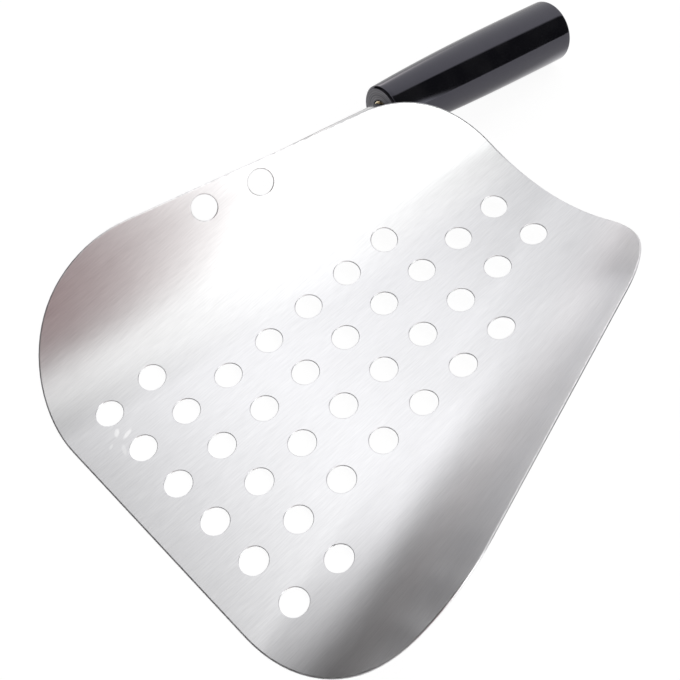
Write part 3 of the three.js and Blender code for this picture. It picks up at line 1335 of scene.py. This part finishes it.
@dataclass
class Studio:
    """Camera, floor and light.

    Directions of light are given by azimuth, from +Y towards +X, and elevation.
    """

    image_width: float = 680.0
    focal_pixels: float = 1093.655
    sensor_mm: float = 36.0
    clip_range: Pair = (0.01, 50.0)
    eye: Coords = (170.376 * MM, -171.333 * MM, 335.14 * MM)
    right: Coords = (0.68438, 0.72451, -0.08196)
    down: Coords = (0.57083, -0.60234, -0.55798)
    floor_span: float = 6.0
    floor_colour: Colour = (0.8, 0.8, 0.8)
    shadow_colour: Colour = (0.16, 0.16, 0.16)
    seen_glow: float = 0.92
    mirrored_glow: float = 0.29
    # Painted reflection: extra glow of the floor in a first reflection from a surface near it
    painted_near_glow: float = 0.5
    painted_near_range: Pair = (22 * MM, 10 * MM)
    first_reflection: float = 1.5
    backdrop: Colour = (1.0, 1.0, 1.0)
    dim_room: Colour = (0.01, 0.01, 0.01)
    lights: tuple[SoftBox | SoftLight, ...] = (
        # Screen on the handle's side, with three brighter places
        SoftBox((277, 5), (374, 4), (-12, 5), (60, 14), (0.85, 0.85, 0.86)),
        SoftLight(303.5, 62, 2, 14.5, (0.75, 0.75, 0.765)),
        SoftLight(277.7, 41.4, 2, 12, (0.94, 0.94, 0.955)),
        SoftBox((271, 10), (307.5, 7), (-12, 5), (11.5, 7.5), (1.38, 1.26, 1.24)),
        # Screen over it, and a fill beside it
        SoftBox((260.6, 5), (374, 9), (60, 14), (85, 5), (0.44, 0.44, 0.448)),
        SoftBox((265, 12), (277, 5), (29, 5), (60, 14), (0.6, 0.595, 0.6)),
        # Tall box beyond the free wall, and its reddish fringe
        SoftBox((65, 4), (98.5, 8), (-12, 5), (64, 10), (2.42, 2.45, 2.42)),
        SoftBox((98.5, 8), (132, 10), (-12, 5), (64, 10), (0.223, 0.117, 0.117)),
        # Fill before the mouth
        SoftBox((126, 10), (238, 12), (-12, 5), (40, 10), (0.22, 0.212, 0.215)),
        # Ceiling
        SoftLight(65, 84, 8, 26, (1.21, 1.21, 1.2)),
    )

    def add_camera(self) -> None:
        """Puts the camera where the photograph was taken from."""
        lens = bpy.data.cameras.new("camera")
        lens.sensor_width = self.sensor_mm
        lens.lens = self.focal_pixels / self.image_width * self.sensor_mm
        lens.clip_start, lens.clip_end = self.clip_range
        camera = bpy.data.objects.new("camera", lens)
        bpy.context.scene.collection.objects.link(camera)
        right = Vector(self.right).normalized()
        up = -Vector(self.down)
        up = (up - right * up.dot(right)).normalized()
        turned = Matrix((right, up, right.cross(up))).transposed().to_4x4()
        camera.matrix_world = Matrix.Translation(self.eye) @ turned
        bpy.context.scene.camera = camera

    def add_floor(self) -> None:
        """Lays the pale floor.

        The camera sees it white, with the scoop's shadow. Mirror-like surfaces see it darker, save in a
        first reflection from a surface near it, where it glows paler as a painted reflection.
        """
        material = bpy.data.materials.new("floor")
        material.use_nodes = True
        material.cycles.emission_sampling = "NONE"
        graph = Graph(material.node_tree)
        path = graph.node("ShaderNodeLightPath").outputs
        seen = path["Is Camera Ray"]
        mirrored = graph.math("MAXIMUM", path["Is Glossy Ray"], path["Is Transmission Ray"])
        once = graph.math("LESS_THAN", path["Ray Depth"], self.first_reflection)
        # Painted reflection: the floor glows more where a first reflection reaches it from near by
        painted_near = graph.math("MULTIPLY", once, graph.fade(path["Ray Length"], *self.painted_near_range))
        level = graph.math("MULTIPLY_ADD", painted_near, self.painted_near_glow, self.mirrored_glow)
        glow = graph.math("MULTIPLY_ADD", seen, self.seen_glow, graph.math("MULTIPLY", mirrored, level))
        colour = graph.blend(seen, self.floor_colour, self.shadow_colour)
        matt = graph.node("ShaderNodeBsdfDiffuse", {"Color": colour})
        white = graph.node("ShaderNodeEmission", {"Strength": glow})
        both = graph.node("ShaderNodeAddShader", {0: matt.outputs["BSDF"], 1: white.outputs["Emission"]})
        graph.node("ShaderNodeOutputMaterial", {"Surface": both.outputs["Shader"]})
        bm = bmesh.new()
        bmesh.ops.create_grid(bm, x_segments=1, y_segments=1, size=self.floor_span / 2)
        floor = make_object("floor", bm, [material])

    def add_light(self) -> None:
        """Surrounds the scoop with soft boxes and screens; the camera sees plain white behind it."""
        world = bpy.data.worlds.new("studio")
        world.use_nodes = True
        bpy.context.scene.world = world
        graph = Graph(world.node_tree)
        way = graph.node("ShaderNodeTexCoord").outputs["Generated"]
        split = graph.node("ShaderNodeSeparateXYZ", {"Vector": way}).outputs
        azimuth = graph.math("ARCTAN2", split["X"], split["Y"])
        look = Look(way, azimuth, graph.math("ARCSINE", split["Z"]))
        total = self.dim_room
        for light in self.lights:
            shine = graph.vectors("SCALE", light.colour, Scale=light.share(graph, look))["Vector"]
            total = graph.vectors("ADD", total, shine)["Vector"]
        path = graph.node("ShaderNodeLightPath").outputs
        colour = graph.blend(path["Is Camera Ray"], total, self.backdrop)
        sky = graph.node("ShaderNodeBackground", {"Color": colour})
        graph.node("ShaderNodeOutputWorld", {"Surface": sky.outputs["Background"]})

    def build(self) -> None:
        """Sets up the studio."""
        bpy.context.scene.view_settings.view_transform = "Standard"
        self.add_camera()
        self.add_floor()
        self.add_light()


def rest_pose(frame: dict, pan: Pan) -> Matrix:
    """From the pan's frame, with a level floor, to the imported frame, where the scoop lies at rest.

    Args:
        frame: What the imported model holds.
        pan: The pan.

    Returns:
        The matrix.
    """
    underside = next(mount for mount in frame["record"]["mounts"] if mount["name"] == "floor_underside")
    _, tilt_y, tilt_z = underside["axis"]
    slope = atan2(tilt_y, -tilt_z)
    lowest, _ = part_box("pan")
    half = pan.thickness / 2
    shift = Vector((0.0, lowest.y + half * sin(slope), lowest.z + half * cos(slope)))
    return Matrix.Translation(shift) @ Matrix.Rotation(slope, 4, "X")


def main() -> None:
    """Builds the scoop and its studio."""
    logging.basicConfig(level=logging.INFO, format="%(name)s: %(message)s")
    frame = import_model()
    pan = Pan()
    rest = rest_pose(frame, pan)
    seat = HandleSeat(pan, rest)
    effects = SharedEffects()
    Studio().build()
    brushed = BrushedSteel(effects, pan.sheet_map, pan.map_span, pan.map_origin)
    pan.build(rest, brushed, DeburredSteel(effects))
    Stem(seat).build(DrawnSteel(effects, seat.frame()))
    for place in WeldPlace:
        WeldBead(seat, place).build(WeldMetal(effects))
    ThreadInsert(seat).build(TurnedBrass(effects, seat.grip_frame()))
    Grip(seat).build(GlossBlack(effects), TurnedBlackPaintedLight(effects, seat.grip_frame()))


if __name__ == "__main__":
    main()
